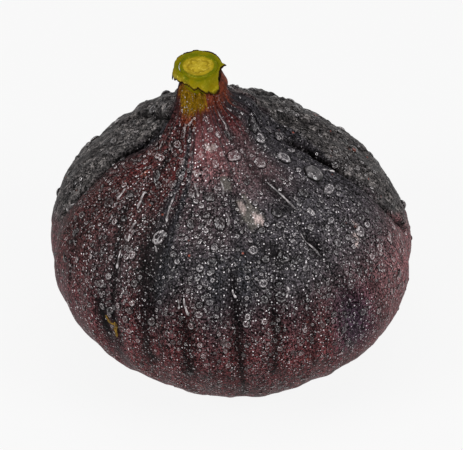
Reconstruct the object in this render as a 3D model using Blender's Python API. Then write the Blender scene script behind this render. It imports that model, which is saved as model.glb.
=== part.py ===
"""A whole fresh fig of the squat, dark kind, resting upright on its eye end.

It has three named pieces: the fruit with its ribbed skin and short neck, the cut stub of the stalk with a collar of
torn green skin, and the ring of small scales that closes the eye underneath. Units are metres and +Z is up. The
front of the fig faces -Y, and angles around it are measured from the front towards +X.
"""

import math

import bmesh
import bpy
from mathutils import Vector

MM = 0.001

# The fruit's outline, as a radius and a height above the table
BODY_RADIUS = 30.0 * MM
EQUATOR_HEIGHT = 22.8 * MM
UPPER_DEPTH = 22.2 * MM
LOWER_DEPTH = 24.2 * MM
UPPER_FULLNESS = 2.16
LOWER_FULLNESS = 1.79
DEPTH_SHARE = 0.985
REST_EDGE_RADIUS = 8.0 * MM

# The neck, which leans a little to the left of the fruit
NECK_START_RADIUS = 15.0 * MM
NECK_PULL = 4.8 * MM
NECK_TOP_RADIUS = 3.8 * MM
NECK_TOP_HEIGHT = 56.2 * MM
NECK_SLOPE = (2.2 * MM, -8.8 * MM)
LEAN = 0.082
NECK_SWAY = 1.9 * MM
SWAY_START = 38.0 * MM
SWAY_LENGTH = 18.0 * MM

# The eye: a shallow round hollow in the middle of the base
EYE_RADIUS = 4.0 * MM
EYE_FLOOR_RADIUS = 3.5 * MM
EYE_DEPTH = 2.0 * MM

# The ribs, and the deeper folds between some of them: angle, depth and half width of each
RIB_COUNT = 25
RIB_PHASE = math.radians(2.0)
RIB_DEPTH = 0.3 * MM
RIB_FADE_RADIUS = 10.0 * MM
FOLDS = [
    (-160.0, 0.6 * MM, 2.2 * MM),
    (-122.0, 0.6 * MM, 2.0 * MM),
    (-81.0, 1.1 * MM, 2.2 * MM),
    (-42.0, 0.4 * MM, 2.0 * MM),
    (-28.0, 0.5 * MM, 2.2 * MM),
    (2.0, 0.4 * MM, 2.0 * MM),
    (40.0, 0.6 * MM, 2.4 * MM),
    (84.0, 1.0 * MM, 2.2 * MM),
    (128.0, 0.7 * MM, 2.4 * MM),
    (166.0, 0.5 * MM, 2.0 * MM),
]
FOLD_FADE_RADIUS = 9.0 * MM
FOLD_LOW = 8.0 * MM
FOLD_HIGH = 20.0 * MM

# The stalk's cut stub: a green core on the neck, and torn green skin that hangs round it as a collar
GAP = 0.35 * MM
STUB_LEAN = -0.10
CORE_RADIUS = 3.15 * MM
CORE_TOP = 2.4 * MM
RIM_RADIUS = 4.0 * MM
COLLAR_INNER_RADIUS = 4.2 * MM
COLLAR_OUTER_RADIUS = 4.6 * MM
COLLAR_TOP = 2.0 * MM
COLLAR_LENGTH = 2.5 * MM
COLLAR_RAGGEDNESS = 0.5 * MM
FLAP_DROP = 0.5 * MM
FLAP_ANGLE = math.radians(35.0)
FLAP_WIDTH = math.radians(35.0)
FLARE = 0.45 * MM
FLARE_ANGLE = math.radians(-100.0)

# The eye's scales, which grow from one ring and overlap round it
SCALE_COUNT = 9
SCALE_RING_RADIUS = 3.1 * MM
SCALE_RING_TOP = EYE_DEPTH - 0.35 * MM
SCALE_STEP = 0.35 * MM
SCALE_TWIST = math.radians(35.0)

# How finely the round pieces are cut
FRUIT_STEPS = 100
BODY_STEP = 2.5 * MM
NECK_STEP = 1.7 * MM
STUB_STEPS = 60
SCALE_STEPS = 54


def clear_scene():
    for thing in list(bpy.data.objects):
        bpy.data.objects.remove(thing)


def make_material(name, colour, roughness):
    material = bpy.data.materials.new(name)
    material.use_nodes = True
    shader = material.node_tree.nodes["Principled BSDF"]
    shader.inputs["Base Color"].default_value = (*colour, 1.0)
    shader.inputs["Roughness"].default_value = roughness
    shader.inputs["Metallic"].default_value = 0.0
    return material


def smooth_step(value, start, end):
    share = min(1.0, max(0.0, (value - start) / (end - start)))
    return share * share * (3.0 - 2.0 * share)


def evenly_spaced(points, step):
    """The same open outline with its points about one step apart, both ends kept."""
    lengths = [0.0]
    for a, b in zip(points, points[1:]):
        lengths.append(lengths[-1] + math.dist(a, b))
    count = max(1, round(lengths[-1] / step))
    spaced = []
    at = 0
    for k in range(count + 1):
        target = lengths[-1] * k / count
        while at < len(lengths) - 2 and lengths[at + 1] < target:
            at += 1
        share = (target - lengths[at]) / (lengths[at + 1] - lengths[at])
        spaced.append(tuple(a + (b - a) * share for a, b in zip(points[at], points[at + 1])))
    return spaced


def quarter(fullness, depth, start, end, count=160):
    """Part of a rounded quarter outline, as (radius, distance from the equator), between two angles."""
    points = []
    for k in range(count + 1):
        angle = start + (end - start) * k / count
        radius = BODY_RADIUS * max(0.0, math.sin(angle)) ** (2.0 / fullness)
        away = depth * max(0.0, math.cos(angle)) ** (2.0 / fullness)
        points.append((radius, away))
    return points


def side_outline():
    """The fruit's side from the edge of its flat rest, over the equator and up to the neck."""
    lower = quarter(LOWER_FULLNESS, LOWER_DEPTH, 0.0, math.pi / 2)
    lower = [(r, EQUATOR_HEIGHT - away) for r, away in lower]
    lower = [(r, z) for r, z in lower if z > 0.0 and r > REST_EDGE_RADIUS]
    upper = quarter(UPPER_FULLNESS, UPPER_DEPTH, math.pi / 2, 0.0)
    upper = [(r, EQUATOR_HEIGHT + away) for r, away in upper]
    upper = [(r, z) for r, z in upper if r > NECK_START_RADIUS]
    return [(REST_EDGE_RADIUS, 0.0)] + lower + upper[1:]


def neck_outline(start, before):
    """A curve from the shoulder, leaving it the way it runs, up to the top of the neck."""
    start, before = Vector(start), Vector(before)
    leave = start + (start - before).normalized() * NECK_PULL
    top = Vector((NECK_TOP_RADIUS, NECK_TOP_HEIGHT))
    arrive = top + Vector(NECK_SLOPE)
    points = []
    for k in range(61):
        t = k / 60
        point = start * (1 - t) ** 3 + leave * 3 * t * (1 - t) ** 2 + arrive * 3 * t * t * (1 - t) + top * t**3
        points.append(tuple(point))
    return points


def fruit_outline():
    """The whole outline from the middle of the eye's floor to the middle of the neck's top."""
    side = side_outline()
    neck = neck_outline(side[-1], side[-3])
    eye = [(0.0, EYE_DEPTH), (EYE_FLOOR_RADIUS, EYE_DEPTH), (EYE_RADIUS, 0.0)]
    neck_points = evenly_spaced(neck, NECK_STEP)
    cap = [(NECK_TOP_RADIUS * 0.5, NECK_TOP_HEIGHT), (0.0, NECK_TOP_HEIGHT)]
    return eye + evenly_spaced(side, BODY_STEP) + neck_points[1:] + cap


def spun_mesh(outline, steps):
    """A closed mesh made by turning an outline, whose two ends lie on the Z axis, once around it."""
    bm = bmesh.new()
    verts = [bm.verts.new((0.0, -r, z)) for r, z in outline]
    edges = [bm.edges.new(pair) for pair in zip(verts, verts[1:])]
    bmesh.ops.spin(
        bm, geom=verts + edges, cent=(0, 0, 0), axis=(0, 0, 1), angle=2 * math.pi, steps=steps, use_merge=True
    )
    bmesh.ops.remove_doubles(bm, verts=bm.verts, dist=0.001 * MM)
    bmesh.ops.recalc_face_normals(bm, faces=bm.faces)
    return bm


def around(point):
    """The angle of a point around the fig, from the front towards +X."""
    return math.atan2(point.x, -point.y)


def angle_between(a, b):
    return (a - b + math.pi) % (2 * math.pi) - math.pi


def axis_shift(height):
    """How far the fig's axis lies from the origin along X at a height."""
    sway = NECK_SWAY * smooth_step(height, SWAY_START, SWAY_START + SWAY_LENGTH)
    return -LEAN * (height - EQUATOR_HEIGHT) - sway


def skin_depth(angle, radius, height):
    """How far the ribs and folds draw the skin in at one place."""
    rib = 0.5 + 0.5 * math.cos(RIB_COUNT * (angle - RIB_PHASE))
    depth = RIB_DEPTH * rib * min(1.0, radius / RIB_FADE_RADIUS)
    lift = smooth_step(height, FOLD_LOW, FOLD_HIGH)
    for degrees, fold_depth, half_width in FOLDS:
        aside = radius * angle_between(angle, math.radians(degrees)) / half_width
        depth += fold_depth * lift * math.exp(-aside * aside) * min(1.0, radius / FOLD_FADE_RADIUS)
    return depth


def fold_skin(bm):
    """Draws the ribs and folds into the side of the turned fruit, and leans its neck."""
    for vert in bm.verts:
        radius, height = vert.co.xy.length, vert.co.z
        on_side = radius > REST_EDGE_RADIUS * 1.01 or height > EQUATOR_HEIGHT
        if on_side and radius > NECK_TOP_RADIUS * 0.9:
            fade_in = smooth_step(height, 0.0, 3.0 * MM)
            share = 1.0 - skin_depth(around(vert.co), radius, height) * fade_in / radius
            vert.co.x *= share
            vert.co.y *= share
        vert.co.y *= DEPTH_SHARE
        vert.co.x += axis_shift(height)


def stub_outline():
    """The stub's section: its foot on the neck, the collar's inside, edge and outside, then the cut face."""
    collar_low = COLLAR_TOP - COLLAR_LENGTH
    return [
        (0.0, 0.0),
        (CORE_RADIUS * 0.6, 0.0),
        (CORE_RADIUS + 0.2 * MM, 0.0),
        (COLLAR_INNER_RADIUS, 0.35 * MM),
        (COLLAR_INNER_RADIUS, collar_low),
        (COLLAR_OUTER_RADIUS, collar_low),
        (COLLAR_OUTER_RADIUS, COLLAR_TOP - 1.3 * MM),
        (COLLAR_OUTER_RADIUS - 0.15 * MM, COLLAR_TOP - 0.4 * MM),
        (RIM_RADIUS, COLLAR_TOP),
        (CORE_RADIUS + 0.3 * MM, COLLAR_TOP - 0.1 * MM),
        (CORE_RADIUS + 0.05 * MM, CORE_TOP - 0.2 * MM),
        (CORE_RADIUS - 0.15 * MM, CORE_TOP),
        (CORE_RADIUS * 0.5, CORE_TOP),
        (0.0, CORE_TOP),
    ]


def tear_collar(bm):
    """Gives the collar its ragged edge, its longer flap in front, and its flare to the left."""
    for vert in bm.verts:
        radius, height = vert.co.xy.length, vert.co.z
        if radius < COLLAR_INNER_RADIUS * 0.99:
            continue
        angle = around(vert.co)
        share = min(1.0, max(0.0, (COLLAR_TOP - height) / COLLAR_LENGTH))
        ragged = 0.5 * math.sin(5 * angle + 1.0) + 0.3 * math.sin(11 * angle) + 0.2 * math.sin(17 * angle + 2.0)
        flap = math.exp(-((angle_between(angle, FLAP_ANGLE) / FLAP_WIDTH) ** 2))
        flare = FLARE * share * (0.5 + 0.5 * math.cos(angle_between(angle, FLARE_ANGLE)))
        vert.co.z -= share * share * (COLLAR_RAGGEDNESS * ragged + FLAP_DROP * flap)
        vert.co.x *= 1.0 + flare / radius
        vert.co.y *= 1.0 + flare / radius


def seat_stub(bm):
    """Sets the stub on the neck's top, a gap above it, leaning on with the neck."""
    for vert in bm.verts:
        vert.co.x += axis_shift(NECK_TOP_HEIGHT) + STUB_LEAN * vert.co.z
        vert.co.z += NECK_TOP_HEIGHT + GAP


def scale_outline():
    """The section of the ring of scales, from its flat back down to the small hole between the tips."""
    return [
        (0.0, SCALE_RING_TOP - 0.35 * MM),
        (SCALE_RING_RADIUS * 0.22, SCALE_RING_TOP - 0.45 * MM),
        (SCALE_RING_RADIUS * 0.30, SCALE_RING_TOP - 1.0 * MM),
        (SCALE_RING_RADIUS * 0.55, SCALE_RING_TOP - 1.2 * MM),
        (SCALE_RING_RADIUS * 0.80, SCALE_RING_TOP - 1.1 * MM),
        (SCALE_RING_RADIUS * 0.97, SCALE_RING_TOP - 0.75 * MM),
        (SCALE_RING_RADIUS, SCALE_RING_TOP - 0.4 * MM),
        (SCALE_RING_RADIUS * 0.95, SCALE_RING_TOP),
        (0.0, SCALE_RING_TOP),
    ]


def overlap_scales(bm):
    """Raises one edge of each scale over the next, on the ring's underside, and sets the ring in the eye."""
    for vert in bm.verts:
        radius, height = vert.co.xy.length, vert.co.z
        if radius > SCALE_RING_RADIUS * 0.25 and height < SCALE_RING_TOP - 0.6 * MM:
            turn = around(vert.co) + SCALE_TWIST * radius / SCALE_RING_RADIUS
            share = (turn * SCALE_COUNT / (2 * math.pi)) % 1.0
            vert.co.z += SCALE_STEP * share
        vert.co.x += axis_shift(0.0)


def add_object(name, bm, material):
    mesh = bpy.data.meshes.new(name)
    bm.to_mesh(mesh)
    bm.free()
    mesh.materials.append(material)
    mesh.shade_smooth()
    mesh.set_sharp_from_angle(angle=math.radians(50.0))
    thing = bpy.data.objects.new(name, mesh)
    bpy.context.scene.collection.objects.link(thing)
    return thing


def add_fruit():
    bm = spun_mesh(fruit_outline(), FRUIT_STEPS)
    fold_skin(bm)
    return add_object("fruit", bm, make_material("fig_skin", (0.055, 0.030, 0.034), 0.5))


def add_stem():
    bm = spun_mesh(stub_outline(), STUB_STEPS)
    tear_collar(bm)
    seat_stub(bm)
    return add_object("cut_stem", bm, make_material("green_stalk", (0.30, 0.24, 0.02), 0.55))


def add_eye_scales():
    bm = spun_mesh(scale_outline(), SCALE_STEPS)
    overlap_scales(bm)
    return add_object("eye_scales", bm, make_material("dry_scale", (0.16, 0.07, 0.05), 0.7))


def centre_on_origin(things):
    """Moves the meshes so that the middle of the whole fig's box is over the origin, with its base at Z = 0."""
    points = [vert.co for thing in things for vert in thing.data.vertices]
    lows = [min(point[k] for point in points) for k in range(3)]
    highs = [max(point[k] for point in points) for k in range(3)]
    shift = Vector((-(lows[0] + highs[0]) / 2, -(lows[1] + highs[1]) / 2, -lows[2]))
    for thing in things:
        for vert in thing.data.vertices:
            vert.co += shift


def main():
    clear_scene()
    centre_on_origin([add_fruit(), add_stem(), add_eye_scales()])


main()
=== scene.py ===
"""The looks of a whole fresh fig, wet with small drops of water, standing on a pale table.

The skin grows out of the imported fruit, finely divided and then sculpted with its veins, folds and
wrinkles, and the scales of the eye grow out of their packed ring. The cut stalk, the crack in the
skin and all the water are made here. The shaping works in millimetres, and Blender is given
metres. Angles round the fig are degrees from the front, which faces -Y, towards +X.
"""

import math

import bpy
import numpy as np
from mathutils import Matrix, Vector
from mathutils.bvhtree import BVHTree


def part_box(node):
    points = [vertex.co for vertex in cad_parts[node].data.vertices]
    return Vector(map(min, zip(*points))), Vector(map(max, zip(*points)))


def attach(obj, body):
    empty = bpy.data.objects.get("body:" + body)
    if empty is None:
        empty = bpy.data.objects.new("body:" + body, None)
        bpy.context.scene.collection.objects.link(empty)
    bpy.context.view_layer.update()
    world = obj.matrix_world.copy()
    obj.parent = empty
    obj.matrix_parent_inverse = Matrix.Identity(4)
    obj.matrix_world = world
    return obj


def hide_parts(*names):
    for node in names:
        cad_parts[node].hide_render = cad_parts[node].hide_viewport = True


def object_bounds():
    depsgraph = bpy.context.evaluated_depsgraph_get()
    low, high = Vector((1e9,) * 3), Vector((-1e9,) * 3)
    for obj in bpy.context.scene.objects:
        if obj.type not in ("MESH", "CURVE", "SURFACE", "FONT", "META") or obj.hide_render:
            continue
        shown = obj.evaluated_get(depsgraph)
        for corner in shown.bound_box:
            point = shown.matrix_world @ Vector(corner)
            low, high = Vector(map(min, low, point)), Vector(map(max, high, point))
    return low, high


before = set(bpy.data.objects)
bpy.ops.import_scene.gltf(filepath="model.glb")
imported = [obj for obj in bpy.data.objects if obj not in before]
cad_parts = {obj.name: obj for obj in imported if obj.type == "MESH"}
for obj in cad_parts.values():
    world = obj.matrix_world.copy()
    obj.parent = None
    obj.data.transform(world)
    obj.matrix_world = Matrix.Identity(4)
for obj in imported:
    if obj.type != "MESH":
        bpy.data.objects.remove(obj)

cad_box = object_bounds()

MM = 0.001

# The seed of every random draw, and the step between the numbers that tell one drop from the next
SEED = 7
SEED_STEP = 3.7

# The camera: how many degrees it looks down, how far off it stands in metres, where it aims, and the
# length of its lens and the width of its sensor in mm
CAMERA_ELEVATION = 38.0
CAMERA_DISTANCE = 0.45
AIM = (0.0003, 0.0, 0.0268)
LENS = 210.635
SENSOR_WIDTH = 36.0

# The two long folds that part the front of the skin from the felted back: the angles and heights in
# mm that each passes through, from the top down
LEFT_FOLD = [(-92, 45.6), (-90, 43.3), (-86, 41.9), (-82, 40.4), (-79.5, 38), (-79, 36), (-81, 31.5)]
RIGHT_FOLD = [(91, 43.8), (88, 42.2), (85.5, 41.3), (83, 38.5), (81.5, 34.0), (84, 30.4), (89, 26)]

# Folds in the skin: the path of each, its depth and half width in mm, the height of its lip in mm and
# the side that the lip is on
FOLDS = [
    (LEFT_FOLD, 1.4, 0.36, 0.38, -1),
    (RIGHT_FOLD[:4], 1.6, 0.6, 0.6, 1),
    (RIGHT_FOLD[3:], 1.0, 0.45, 0.35, 1),
    ([(-90, 49.6), (-104, 47.6), (-118, 44.6), (-118, 42.6), (-115, 41.0)], 0.8, 0.45, 0.5, -1),
    ([(118, 46.0), (112, 40.0), (110, 35.0)], 0.4, 0.8, 0.25, 1),
    ([(36, 47.5), (39.5, 43.0), (39, 41.2)], 0.45, 0.7, 0.15, 1),
    ([(37, 39.6), (38, 37.6), (39.5, 35.2)], 0.55, 0.6, 0.2, 1),
    ([(41, 34.0), (42.5, 30.5), (42, 25.0)], 0.25, 1.0, 0.1, 1),
    (
        [(-45, 49.0), (-50, 46.0), (-47, 43.6), (-39, 41.0), (-32, 38.5), (-28, 35), (-25, 29), (-23, 22)],
        0.35, 0.7, 0.2, -1,
    ),
    ([(-51, 41.0), (-44, 37.0), (-41, 33.3), (-39, 28.5), (-38, 20.0)], 0.3, 0.6, 0.15, -1),
    ([(-66, 40.0), (-62, 34.0), (-60, 24.0)], 0.2, 0.7, 0.1, -1),
    ([(3, 37.0), (3, 34.0), (2.5, 22.0), (1.5, 11.0)], 0.3, 0.8, 0.1, -1),
    ([(16, 36.0), (16, 22.0)], 0.2, 0.8, 0.0, 1),
    ([(-14, 38.0), (-13, 22.0)], 0.2, 0.8, 0.0, 1),
    ([(150, 48.0), (146, 22.0)], 0.5, 1.0, 0.4, 1),
    ([(-155, 47.0), (-151, 24.0)], 0.5, 1.0, 0.4, -1),
]

# Where the skin swells or sinks over a wide patch: how far out in mm, then from which angle to which
# and how softly, then from which height in mm to which and how softly; and how far out in mm the
# shoulder at the back swells
SWELLINGS = [
    (0.65, (45, 135, 25), (8, 26, 5)),
    (0.4, (-110, -45, 15), (6, 22, 5)),
    (-0.3, (22, 70, 15), (3, 12, 4)),
    (1.3, (40, 140, 20), (48, 51.5, 1.5)),
]
BACK_SWELLING = 2.0

# Dark stripes down the skin, partly its own colour and partly painted shade in its furrows: the
# angles and heights in mm that each passes through, its half width in mm and its strength
DARK_STRIPES_AND_FURROW_SHADE = [
    ([(3.5, 36.5), (3, 30.0), (2.5, 24.0), (1.5, 11.0)], 1.0, 0.88),
    ([(-33, 41.0), (-30, 37.3), (-28, 35.0), (-27, 32.7), (-26.5, 28.0), (-26, 21.0)], 1.5, 0.92),
    ([(-51, 41.0), (-44, 37.0), (-41, 33.3), (-39, 29.0), (-38, 20.0)], 0.7, 0.9),
    ([(-14.5, 34.0), (-13.5, 28.0), (-12.5, 17.0)], 1.2, 0.80),
    ([(16, 34.0), (16, 28.0), (14, 18.0)], 1.2, 0.80),
    ([(19.5, 40.6), (22, 38.6), (23.5, 36.4)], 1.8, 0.95),
    ([(28.5, 39.4), (29.5, 37.8)], 0.9, 0.7),
    ([(37, 45.0), (39.5, 42.8), (39, 41.0)], 0.9, 0.85),
    ([(37, 39.4), (38, 37.5), (39.5, 35.0)], 1.3, 0.95),
    ([(41, 33.5), (42.5, 30.0), (42, 24.0)], 1.7, 0.55),
    ([(-44.5, 27.0), (-42, 22.5), (-41, 18.0)], 0.8, 1.0),
    ([(27, 33.0), (28, 18.0)], 0.7, 0.6),
    ([(52, 34.0), (55, 27.0), (53, 20.0)], 1.2, 0.5),
    ([(-66, 40.0), (-60, 24.0)], 0.5, 0.5),
    ([(-49, 47.0), (-47, 43.6), (-40, 41.0)], 0.5, 0.9),
    ([(-57, 50.0), (-62, 47.0), (-60, 43.0)], 0.4, 0.6),
    ([(22, 52.0), (30, 48.5), (33, 46.5)], 0.35, 0.9),
    ([(-20, 50.5), (-24, 47.0)], 0.4, 0.7),
    ([(-100, 40.0), (-97, 15.0)], 1.0, 0.6),
    ([(-125, 40.0), (-122, 14.0)], 1.1, 0.8),
    ([(-150, 38.0), (-152, 12.0)], 1.2, 0.7),
    ([(175, 40.0), (177, 12.0)], 1.0, 0.8),
    ([(150, 40.0), (148, 14.0)], 0.9, 0.7),
    ([(120, 36.0), (121, 12.0)], 1.0, 0.8),
    ([(103, 36.0), (100, 14.0)], 0.8, 0.5),
]

# Rust-red spots where the skin is bruised: angle, height in mm and radius in mm
SPOTS = [
    (60, 36.0, 0.4), (104, 38.5, 0.5), (-58, 43.0, 0.35), (-12, 14.0, 0.5), (24, 12.0, 0.5),
    (135, 38.0, 0.5), (-140, 30.0, 0.5),
]

# Dull grey patches of painted pale reflection where flat water lies: angle, height in mm and radius in mm
REFLECTION_PATCHES = [(17, 41.5, 1.9), (8, 44.0, 0.9)]

# Small pale spots of painted highlight on the wet skin: angle, height in mm and radius in mm
HIGHLIGHT_SPOTS = [
    (56.5, 35.2, 0.6), (61, 36.2, 0.35), (55, 34.6, 0.4), (-3, 48.2, 0.38), (5, 48.0, 0.32),
    (-1, 47.7, 0.26), (14, 42.1, 0.5), (20, 41.2, 0.6), (21, 40.8, 0.4),
]

# The crack in the skin: the angles and heights in mm that each of its strokes passes through, and its
# width
CRACK = [
    ([(-38.6, 24.8), (-38.9, 24.0), (-39.1, 22.9), (-39.0, 21.4)], 0.85),
    ([(-38.9, 23.9), (-40.2, 24.2), (-41.4, 24.8)], 0.6),
    ([(-42.4, 25.4), (-41.9, 24.8), (-41.5, 24.1)], 0.5),
]

# The largest drops: angle, height in mm, length down the skin in mm, width in mm
LARGE_DROPS = [
    (26, 46.7, 2.2, 3.2), (2, 46.0, 1.8, 1.4), (-16, 44.9, 1.8, 1.8), (-33, 43.4, 2.6, 2.0),
    (-33, 45.8, 1.6, 1.5), (-71, 44.4, 1.2, 1.4), (-50, 43.2, 2.6, 1.4), (-60, 39.5, 2.1, 2.1),
    (-41, 38.0, 3.0, 1.8), (-60, 36.4, 1.3, 1.2), (-28, 38.8, 3.3, 2.6), (-18, 43.1, 2.4, 1.6),
    (-5, 43.1, 2.1, 2.3), (-15, 40.8, 2.3, 1.5), (0, 40.9, 2.9, 2.3), (72, 49.0, 3.2, 3.2),
    (90, 46.2, 1.9, 1.9), (69, 46.8, 2.4, 2.5), (92, 44.7, 2.2, 2.3), (45, 45.1, 2.5, 2.4),
    (67.5, 44.0, 2.9, 2.6), (82, 47.4, 2.1, 2.1), (52, 41.5, 2.3, 1.8), (65, 37.6, 1.4, 1.3),
    (31, 41.2, 2.2, 2.3), (47, 39.9, 1.9, 1.4), (52, 38.5, 1.2, 1.5), (60, 35.4, 2.2, 2.5),
    (13, 38.4, 2.0, 2.0), (24, 37.1, 2.5, 2.5), (-4, 37.3, 2.0, 2.1), (31, 35.1, 1.2, 1.9),
    (14, 34.5, 1.7, 2.0), (9, 36.5, 1.4, 1.7), (19, 32.5, 2.1, 2.5), (50, 31.4, 1.7, 1.3),
    (45, 30.0, 1.3, 1.5), (31, 26.2, 1.5, 1.1), (-42, 48.9, 2.2, 1.3), (3, 51.9, 1.4, 1.0),
    (30, 49.4, 2.2, 1.1), (6, 50.4, 1.2, 1.2), (-13, 47.0, 1.5, 1.1), (-48, 45.2, 1.5, 1.2),
    (-25, 46.8, 1.2, 1.0), (12, 47.2, 1.1, 1.0), (24, 44.0, 1.4, 1.3), (38, 46.6, 1.2, 1.0),
    (-113, 36.4, 1.5, 1.5), (-107, 35.3, 1.2, 1.2), (-99, 34.6, 1.2, 1.2), (97, 28.4, 1.9, 2.0),
    (111, 38.4, 1.3, 1.4), (98, 30.0, 1.1, 1.1), (-94, 27.0, 1.1, 1.0), (95, 22.0, 1.0, 1.0),
    (128, 43.5, 1.5, 1.8), (146, 46.0, 1.3, 1.3), (-5, 32.5, 1.2, 1.5), (-150, 43.0, 2.4, 2.0),
    (172, 40.0, 2.6, 2.2), (140, 42.0, 2.0, 2.2), (-118, 36.0, 2.2, 1.8), (-165, 33.0, 2.0, 1.8),
    (128, 35.0, 2.4, 1.9), (160, 47.0, 1.8, 1.6), (-100, 30.0, 1.8, 1.6), (105, 38.0, 2.2, 2.0),
]

# Large drops with a painted pale reflection in them, in the same measures, and how pale they are
# from 0 to 1
PALE_REFLECTING_DROPS = [(69.5, 41.9, 3.8, 3.6), (65.5, 40.3, 2.0, 3.0)]
PAINTED_REFLECTION = 0.07

# Large drops further round than this angle stand taller, so that the fig's outline shows them
BEHIND = 92
TALLER_BEHIND = 1.6

# How deep a drop's foot lies in the skin: a share of its radius, and in mm for the large drops
SUNK_SHARE = 0.12
LARGE_DROP_SUNK = 0.1

# Thin runs of water: the angles and heights in mm that each passes through, and its width in mm
RUNS = [
    ([(-59, 41.4), (-58, 40.9), (-57, 40.2)], 0.55),
    ([(-48, 42.0), (-46, 41.3), (-45, 40.6)], 0.55),
    ([(-41, 39.6), (-41.5, 38.8), (-40, 37.7)], 0.60),
    ([(-42, 36.0), (-41.5, 34.8), (-41, 33.3)], 0.50),
    ([(-29, 42.6), (-28.5, 41.6), (-27, 40.4)], 0.45),
    ([(4, 44.2), (5, 43.6), (4, 43.0)], 0.45),
    ([(-18, 44.0), (-15, 43.4), (-13, 42.8)], 0.45),
    ([(4, 41.7), (5, 41.2), (4, 40.7)], 0.50),
    ([(-30, 38.8), (-29, 38.0), (-27, 37.2)], 0.45),
    ([(39, 43.2), (40, 42.4), (40.5, 41.6), (41.5, 40.6)], 0.40),
    ([(36, 38.6), (36, 37.6), (38, 36.6), (39, 35.4)], 0.42),
    ([(-14, 32.6), (-13.5, 31.4), (-12, 30.0)], 0.50),
    ([(-16, 32.4), (-15.5, 31.6), (-15.5, 30.8)], 0.40),
    ([(3, 33.9), (3, 33.3), (4, 32.7)], 0.45),
    ([(22, 33.8), (22, 33.0), (20, 32.2)], 0.55),
    ([(-79, 35.8), (-80, 34.4), (-81, 32.8)], 0.80),
    ([(-54, 47.4), (-53, 46.8), (-51, 46.1)], 0.55),
    ([(31, 53.0), (31, 52.0), (33, 50.7), (30, 49.8)], 0.40),
    ([(53, 52.6), (56, 52.3), (59, 51.9)], 0.40),
    ([(-27, 51.4), (-29, 51.0), (-32, 50.5)], 0.55),
    ([(-22, 50.4), (-23, 50.0), (-24, 49.6)], 0.50),
    ([(-38, 50.5), (-39, 50.1), (-41, 49.4)], 0.90),
    ([(-6, 48.6), (-4, 48.3), (-2, 48.0)], 0.60),
    ([(6, 48.4), (8, 48.3), (9, 47.9)], 0.50),
    ([(76, 41.4), (78, 41.0), (80, 40.3)], 0.50),
    ([(170, 42.0), (168, 40.0), (171, 38.0)], 0.50),
    ([(-135, 38.0), (-134, 36.0), (-136, 34.0)], 0.50),
]

# How much wider than its measure each run is, and how many sides and steps a run or a crack has
RUN_SWELLING = 1.15
RIDGE_SIDES = 8
RIDGE_STEPS = 14

# The edge of the skin torn round the stalk: its angle, how far out and how far below the cut it ends
# in mm, and how round its shoulder is, from 0 to 1
TORN_EDGE = [
    (-180, 4.60, 0.20, 1.0), (-150, 4.60, 0.35, 1.0), (-120, 4.50, 1.00, 1.0), (-102, 4.50, 1.90, 0.8),
    (-94, 5.00, 3.00, 0.6), (-86, 4.45, 2.10, 0.7), (-77, 4.40, 2.30, 0.7), (-70, 4.20, 1.90, 0.8),
    (-58, 4.00, 1.60, 0.6), (-40, 3.95, 1.70, 0.4), (-22, 3.90, 1.75, 0.3), (-14, 3.90, 2.20, 0.3),
    (-6, 3.90, 2.00, 0.3), (12, 4.00, 2.70, 0.2), (24, 4.05, 3.10, 0.2), (34, 4.05, 3.15, 0.2),
    (46, 3.95, 2.60, 0.2), (58, 3.60, 1.50, 0.3), (72, 3.40, 0.80, 0.5), (92, 3.60, 0.55, 0.8),
    (100, 4.60, 0.60, 1.0), (108, 4.00, 0.30, 1.0), (140, 4.40, 0.20, 1.0), (165, 4.60, 0.20, 1.0),
]

# How many drops of each smaller kind there are, with their smallest and largest radius in mm
MEDIUM_DROPS = (2300, 0.42, 0.82)
SMALL_DROPS = (4600, 0.25, 0.46)
MIST_DROPS = (38000, 0.09, 0.23)
MIST_PIECES = 4

# The share of its size that the lowest drop has, and the heights in mm between which drops grow full
LOWEST_DROP_SHARE = 0.62
SMALL_BELOW, FULL_ABOVE = 17.0, 28.0

# The stub of the stalk, in mm: the radius of its core, the steps that it rises by, the height of its
# bevelled rim and the share that it draws in to, the radius of the cut face, the rings that it is
# divided into, the height that it lies above, and how far the foot stands below the stalk's top
STUB_RADIUS = 3.15
STUB_STEPS, STUB_STEP = 8, 0.40
RIM_HEIGHT, RIM_SHARE = 0.12, 0.965
FACE_RADIUS = 3.04
FACE_RINGS, FACE_RING = 24, 0.118
FACE_ABOVE = 3.25
STUB_HEIGHT = 3.42

# The torn skin round the stub and the tongue of skin that clings to it, in mm: how far out each
# starts, how far below the stalk's top, and how thick it is
COLLAR_RADIUS, COLLAR_DROP, COLLAR_THICKNESS = 3.13, 0.16, 0.14
TONGUE_RADIUS, TONGUE_DROP, TONGUE_THICKNESS = 4.05, 3.35, 0.18

# The upright cylinder that streaks of colour and creases run down: its radius in mm, and how much it
# is pressed down along its height to draw the streaks out
FLOW_RADIUS = 30
FLOW_SQUEEZE = 0.22

# How far outside the fig a look towards its skin starts, in mm
OUTSIDE = 60

# The lights: name, angle round the fig and above the table in degrees, distance, size and power
LIGHTS = [
    ("left_softbox", -56, 34, 0.9, 0.34, 5.6),
    ("right_softbox", 56, 36, 0.9, 0.34, 5.2),
    ("top_softbox", 0, 76, 0.9, 0.7, 5.0),
]
LIGHTS_AIM = (0, 0, 0.03)

# The pale room round the fig and the table under it
ROOM_GREY = 0.9
ROOM_STRENGTH = 0.4
TABLE_SIZE = 6.0
TABLE_GREY = 0.035
TABLE_GLOW = 0.89

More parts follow.
